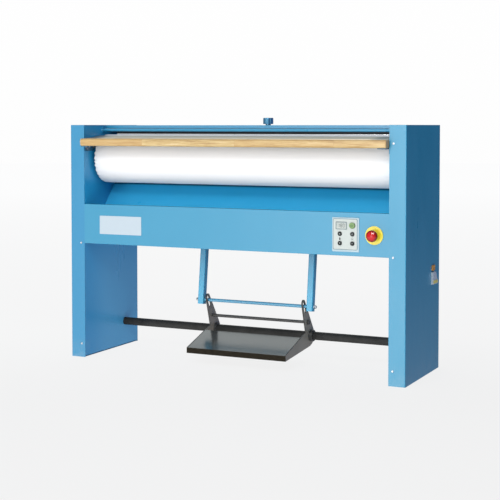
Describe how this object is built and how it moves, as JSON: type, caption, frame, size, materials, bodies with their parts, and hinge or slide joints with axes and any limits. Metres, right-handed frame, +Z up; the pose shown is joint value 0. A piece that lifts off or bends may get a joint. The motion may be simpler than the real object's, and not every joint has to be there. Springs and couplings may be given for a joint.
{
  "type": "flatwork ironer",
  "caption": "Free-standing flatwork ironer: padded cloth-covered roller between two side cabinets, heated shoe lifted by a foot pedal, wooden feed board and catch tray.",
  "frame": {"origin": "on the floor, at the centre of the floor-anchor hole pattern, halfway between the cabinets", "axes": "+X to the operator's right along the roller, +Y to the back, +Z up"},
  "size_m": [1.5175, 0.483, 1.031],
  "materials": {
    "steel_blue": "smooth light-blue enamel",
    "casing_blue": "smooth light-blue enamel",
    "hood_blue": "smooth light-blue enamel",
    "black_paint": "satin black enamel",
    "tread_black": "satin black enamel, worn tread",
    "beech": "oiled beech",
    "stainless": "brushed stainless",
    "bright_screw": "zinc-plated",
    "dark_steel": "turned steel",
    "cast": "painted casting",
    "drum_steel": "rolled steel",
    "felt": "needled felt",
    "cover_cloth": "plain white cotton cloth",
    "shoe_alloy": "polished inner face",
    "element": "heat-tinted tube",
    "housing_sheet": "galvanised sheet",
    "motor_grey": "grey enamel",
    "spring_steel": "spring wire",
    "bronze": "sintered bronze",
    "bezel_white": "smooth white",
    "fascia_grey": "pale grey, satin",
    "lcd": "grey-green display window",
    "pcb": "circuit board",
    "green": "glossy green",
    "key_black": "satin black",
    "yellow": "signal yellow",
    "red": "glossy red",
    "white_plate": "smooth white",
    "marker_amber": "yellow and amber"
  },
  "bodies": {
    "frame": {"left_casing": "casing_blue", "right_casing": "casing_blue", "left_inner_panel": "steel_blue", "right_inner_panel": "steel_blue", "front_beam": "steel_blue", "catch_tray": "steel_blue", "rear_panel": "casing_blue", "top_hood": "hood_blue", "rear_crossbar": "dark_steel", "stretcher_tube": "black_paint", "feed_board": "beech", "feed_board_brackets": "steel_blue", "feed_plate": "stainless", "guard_rail": "hood_blue", "frame_screws": "bright_screw", "bearing_units": "cast", "pivot_bushes": "bronze", "drive_chain": "dark_steel", "gearbox": "cast", "motor": "motor_grey", "control_bezel": "bezel_white", "control_fascia": "fascia_grey", "display_window": "lcd", "control_board": "pcb", "control_housing": "housing_sheet", "estop_collar": "yellow", "estop_contact_block": "key_black", "name_plate": "white_plate", "side_cover": "white_plate", "side_markers": "marker_amber"},
    "roller": {"roller_drum": "drum_steel", "shaft_stubs": "dark_steel", "roller_padding": "felt", "roller_cover": "cover_cloth", "driven_sprocket": "dark_steel"},
    "drive_shaft": {"drive_sprocket": "dark_steel"},
    "shoe": {"ironing_shoe": "shoe_alloy", "heating_elements": "element", "shoe_housing": "housing_sheet", "shoe_arms": "dark_steel", "pivot_shaft": "dark_steel", "left_lever": "hood_blue", "right_lever": "hood_blue", "lever_cross_rod": "hood_blue", "cross_rod_nuts": "bright_screw"},
    "pedal": {"pedal_plate": "tread_black", "left_pedal_arm": "black_paint", "right_pedal_arm": "black_paint", "pedal_hubs": "black_paint", "arm_cross_rod": "black_paint"},
    "knob": {"pressure_knob": "hood_blue"},
    "seat": {"spring_seat": "dark_steel", "pressure_spring": "spring_steel"},
    "start_button": {"start_button": "green"},
    "key_upper_left": {"key_upper_left": "key_black"},
    "key_upper_right": {"key_upper_right": "key_black"},
    "key_lower_left": {"key_lower_left": "key_black"},
    "key_lower_right": {"key_lower_right": "key_black"},
    "stop_plunger": {"estop_plunger": "key_black"},
    "stop_head": {"estop_mushroom": "red"}
  },
  "joints": [
    {"name": "roller_spin", "type": "hinge", "parent": "frame", "child": "roller", "pos_m": [0, -0.06, 0.854], "axis": [-1, 0, 0], "continuous": true, "deforming": ["drive_chain"]},
    {"name": "drive_spin", "type": "hinge", "parent": "frame", "child": "drive_shaft", "pos_m": [0.7, 0.07498, 0.60009], "axis": [-1, 0, 0], "continuous": true, "deforming": ["drive_chain"]},
    {"name": "shoe_lift", "type": "hinge", "parent": "frame", "child": "shoe", "pos_m": [0, 0.10876, 0.8], "axis": [-1, 0, 0], "range_deg": [0, 2.14], "stiffness_Nm_per_rad": 260, "springref_deg": -11.46, "deforming": ["pressure_spring"]},
    {"name": "pedal_press", "type": "hinge", "parent": "frame", "child": "pedal", "pos_m": [0, 0.11, 0.11], "axis": [1, 0, 0], "range_deg": [0, 6.2]},
    {"name": "knob_turn", "type": "hinge", "parent": "frame", "child": "knob", "pos_m": [0, 0.175, 1], "axis": [0, 0, 1], "range_deg": [-720.5, 720.5]},
    {"name": "seat_travel", "type": "slide", "parent": "frame", "child": "seat", "axis": [0, 0, 1], "range_m": [-0.004, 0.004], "deforming": ["pressure_spring"]},
    {"name": "start_press", "type": "slide", "parent": "frame", "child": "start_button", "axis": [0, 1, 0], "range_m": [0, 0.002], "stiffness_N_per_m": 400, "springref_m": -0.001},
    {"name": "key_upper_left_press", "type": "slide", "parent": "frame", "child": "key_upper_left", "axis": [0, 1, 0], "range_m": [0, 0.0014], "stiffness_N_per_m": 400, "springref_m": -0.001},
    {"name": "key_upper_right_press", "type": "slide", "parent": "frame", "child": "key_upper_right", "axis": [0, 1, 0], "range_m": [0, 0.0014], "stiffness_N_per_m": 400, "springref_m": -0.001},
    {"name": "key_lower_left_press", "type": "slide", "parent": "frame", "child": "key_lower_left", "axis": [0, 1, 0], "range_m": [0, 0.0014], "stiffness_N_per_m": 400, "springref_m": -0.001},
    {"name": "key_lower_right_press", "type": "slide", "parent": "frame", "child": "key_lower_right", "axis": [0, 1, 0], "range_m": [0, 0.0014], "stiffness_N_per_m": 400, "springref_m": -0.001},
    {"name": "stop_push", "type": "slide", "parent": "frame", "child": "stop_plunger", "axis": [0, 1, 0], "range_m": [0, 0.005]},
    {"name": "stop_twist", "type": "hinge", "parent": "stop_plunger", "child": "stop_head", "pos_m": [0.627, -0.246, 0.5763], "axis": [0, 1, 0], "range_deg": [0, 45]}
  ],
  "couplings": [
    {"joint": "drive_spin", "follows": "roller_spin", "ratio": 2.5},
    {"joint": "pedal_press", "follows": "shoe_lift", "ratio": 2.896},
    {"joint": "knob_turn", "follows": "seat_travel", "rad_per_m": 3141.6}
  ]
}
